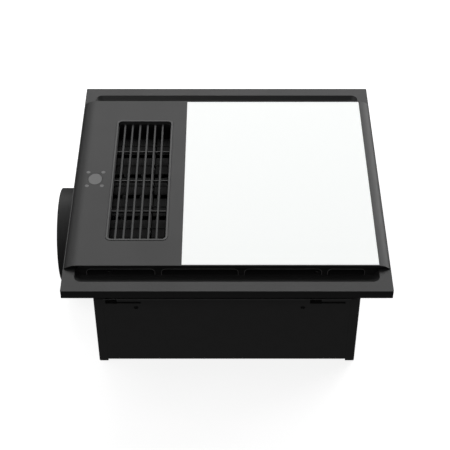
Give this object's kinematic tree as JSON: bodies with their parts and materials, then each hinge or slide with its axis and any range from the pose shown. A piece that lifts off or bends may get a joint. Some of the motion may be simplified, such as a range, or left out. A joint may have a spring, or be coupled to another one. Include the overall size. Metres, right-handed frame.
{
  "type": "ceiling heater extractor unit",
  "caption": "Square ceiling unit with a warm-air grille, a light panel, an extract fan and a side duct collar, standing on its back with its room side up.",
  "frame": {"origin": "centre of the pressed pad under the back of the casing, on the plane the unit stands on", "axes": "+Z out of the room side, which looks down when the unit is in a ceiling; -X towards the duct; +Y towards the cable entry"},
  "size_m": [0.4241, 0.4, 0.1731],
  "materials": {
    "graphite_plastic": "fine satin texture, graphite grey",
    "black_steel": "satin black powder coat",
    "black_plastic": "matt black",
    "opal_acrylic": "opal white, lit from behind",
    "clear_acrylic": "clear",
    "sensor_plastic": "frosted grey window",
    "aluminium": "mill finish",
    "spring_steel": "bright",
    "zinc_steel": "zinc plated",
    "white_plastic": "off-white heat-resistant plastic",
    "board": "green circuit board",
    "foam": "open foam",
    "rubber": "matt black"
  },
  "bodies": {
    "body": {"base_tray": "black_steel", "left_side_plate": "black_steel", "right_side_plate": "black_steel", "cable_grommet": "rubber", "ceiling_frame": "graphite_plastic", "foam_gasket": "foam", "outlet_duct": "black_plastic", "louvre_motor": "zinc_steel", "heater_frame": "black_plastic", "heating_bar_1": "aluminium", "heating_bar_2": "aluminium", "heating_bar_3": "aluminium", "thermal_cutout": "aluminium", "air_box": "black_plastic", "changeover_motor": "zinc_steel", "duct_collar": "black_plastic", "shutter_pin": "zinc_steel", "blower_scroll": "black_plastic", "blower_lid": "black_plastic", "fan_motor": "zinc_steel", "control_box": "white_plastic", "control_box_lid": "white_plastic", "circuit_board": "board", "light_driver": "white_plastic", "terminal_block": "white_plastic"},
    "face": {"face_panel": "graphite_plastic", "sensor_lens": "sensor_plastic", "light_diffuser": "opal_acrylic", "light_guide": "clear_acrylic", "light_strip_left": "white_plastic", "light_strip_right": "white_plastic", "light_back_plate": "aluminium", "outlet_grille": "graphite_plastic", "panel_clip_1": "spring_steel", "panel_clip_2": "spring_steel", "panel_clip_3": "spring_steel", "panel_clip_4": "spring_steel"},
    "rotor": {"impeller": "black_plastic", "motor_shaft": "zinc_steel"},
    "changeover": {"changeover_flap": "white_plastic"},
    "shutter_front": {"shutter_flap_front": "black_plastic"},
    "shutter_rear": {"shutter_flap_rear": "black_plastic"},
    "vane_1": {"louvre_vane_1": "black_plastic"},
    "vane_2": {"louvre_vane_2": "black_plastic"},
    "vane_3": {"louvre_vane_3": "black_plastic"},
    "vane_4": {"louvre_vane_4": "black_plastic"},
    "vane_5": {"louvre_vane_5": "black_plastic"},
    "vane_link": {"louvre_link": "black_plastic"},
    "screw_1": {"clamp_screw_1": "zinc_steel"},
    "nut_1": {"clamp_nut_1": "zinc_steel"},
    "arm_1": {"clamp_arm_1": "zinc_steel"},
    "screw_2": {"clamp_screw_2": "zinc_steel"},
    "nut_2": {"clamp_nut_2": "zinc_steel"},
    "arm_2": {"clamp_arm_2": "zinc_steel"},
    "screw_3": {"clamp_screw_3": "zinc_steel"},
    "nut_3": {"clamp_nut_3": "zinc_steel"},
    "arm_3": {"clamp_arm_3": "zinc_steel"},
    "screw_4": {"clamp_screw_4": "zinc_steel"},
    "nut_4": {"clamp_nut_4": "zinc_steel"},
    "arm_4": {"clamp_arm_4": "zinc_steel"}
  },
  "joints": [
    {"name": "face_pull", "type": "slide", "parent": "body", "child": "face", "axis": [0, 0, 1], "range_m": [0, 0.06]},
    {"name": "rotor_spin", "type": "hinge", "parent": "body", "child": "rotor", "pos_m": [0.055, 0, 0.06], "axis": [0, 0, 1], "continuous": true},
    {"name": "changeover_swing", "type": "hinge", "parent": "body", "child": "changeover", "pos_m": [-0.154, 0, 0.112], "axis": [0, -1, 0], "range_deg": [0, 88]},
    {"name": "shutter_front_swing", "type": "hinge", "parent": "body", "child": "shutter_front", "pos_m": [-0.1702, 0, 0.068], "axis": [0, 0, -1], "range_deg": [0, 60], "stiffness_Nm_per_rad": 0.002, "springref_deg": -11.46},
    {"name": "shutter_rear_swing", "type": "hinge", "parent": "body", "child": "shutter_rear", "pos_m": [-0.1702, 0, 0.068], "axis": [0, 0, 1], "range_deg": [0, 60], "stiffness_Nm_per_rad": 0.002, "springref_deg": -11.46},
    {"name": "vane_1_swing", "type": "hinge", "parent": "body", "child": "vane_1", "pos_m": [-0.1138, -0.077, 0.152], "axis": [1, 0, 0], "range_deg": [-40, 40]},
    {"name": "vane_2_swing", "type": "hinge", "parent": "body", "child": "vane_2", "pos_m": [-0.1138, -0.036, 0.152], "axis": [1, 0, 0], "range_deg": [-40, 40]},
    {"name": "vane_3_swing", "type": "hinge", "parent": "body", "child": "vane_3", "pos_m": [-0.1138, 0.005, 0.152], "axis": [1, 0, 0], "range_deg": [-40, 40]},
    {"name": "vane_4_swing", "type": "hinge", "parent": "body", "child": "vane_4", "pos_m": [-0.1138, 0.046, 0.152], "axis": [1, 0, 0], "range_deg": [-40, 40]},
    {"name": "vane_5_swing", "type": "hinge", "parent": "body", "child": "vane_5", "pos_m": [-0.1138, 0.087, 0.152], "axis": [1, 0, 0], "range_deg": [-40, 40]},
    {"name": "vane_link_turn", "type": "hinge", "parent": "vane_3", "child": "vane_link", "pos_m": [-0.0985, 0.005, 0.143], "axis": [1, 0, 0], "range_deg": [-40, 40]},
    {"name": "screw_1_turn", "type": "hinge", "parent": "body", "child": "screw_1", "pos_m": [-0.1445, -0.1555, 0.11], "axis": [0, 0, 1], "continuous": true},
    {"name": "nut_1_travel", "type": "slide", "parent": "body", "child": "nut_1", "axis": [0, 0, 1], "range_m": [0, 0.034]},
    {"name": "arm_1_swing", "type": "hinge", "parent": "nut_1", "child": "arm_1", "pos_m": [-0.1445, -0.1555, 0.11], "axis": [0, 0, -1], "range_deg": [0, 90]},
    {"name": "screw_2_turn", "type": "hinge", "parent": "body", "child": "screw_2", "pos_m": [0.111, -0.1555, 0.11], "axis": [0, 0, 1], "continuous": true},
    {"name": "nut_2_travel", "type": "slide", "parent": "body", "child": "nut_2", "axis": [0, 0, 1], "range_m": [0, 0.034]},
    {"name": "arm_2_swing", "type": "hinge", "parent": "nut_2", "child": "arm_2", "pos_m": [0.111, -0.1555, 0.11], "axis": [0, 0, -1], "range_deg": [0, 90]},
    {"name": "screw_3_turn", "type": "hinge", "parent": "body", "child": "screw_3", "pos_m": [-0.111, 0.1555, 0.11], "axis": [0, 0, 1], "continuous": true},
    {"name": "nut_3_travel", "type": "slide", "parent": "body", "child": "nut_3", "axis": [0, 0, 1], "range_m": [0, 0.034]},
    {"name": "arm_3_swing", "type": "hinge", "parent": "nut_3", "child": "arm_3", "pos_m": [-0.111, 0.1555, 0.11], "axis": [0, 0, -1], "range_deg": [0, 90]},
    {"name": "screw_4_turn", "type": "hinge", "parent": "body", "child": "screw_4", "pos_m": [0.1445, 0.1555, 0.11], "axis": [0, 0, 1], "continuous": true},
    {"name": "nut_4_travel", "type": "slide", "parent": "body", "child": "nut_4", "axis": [0, 0, 1], "range_m": [0, 0.034]},
    {"name": "arm_4_swing", "type": "hinge", "parent": "nut_4", "child": "arm_4", "pos_m": [0.1445, 0.1555, 0.11], "axis": [0, 0, -1], "range_deg": [0, 90]}
  ],
  "couplings": [
    {"joint": "vane_1_swing", "follows": "vane_3_swing", "ratio": 1},
    {"joint": "vane_2_swing", "follows": "vane_3_swing", "ratio": 1},
    {"joint": "vane_4_swing", "follows": "vane_3_swing", "ratio": 1},
    {"joint": "vane_5_swing", "follows": "vane_3_swing", "ratio": 1},
    {"joint": "vane_link_turn", "follows": "vane_3_swing", "ratio": -1}
  ]
}
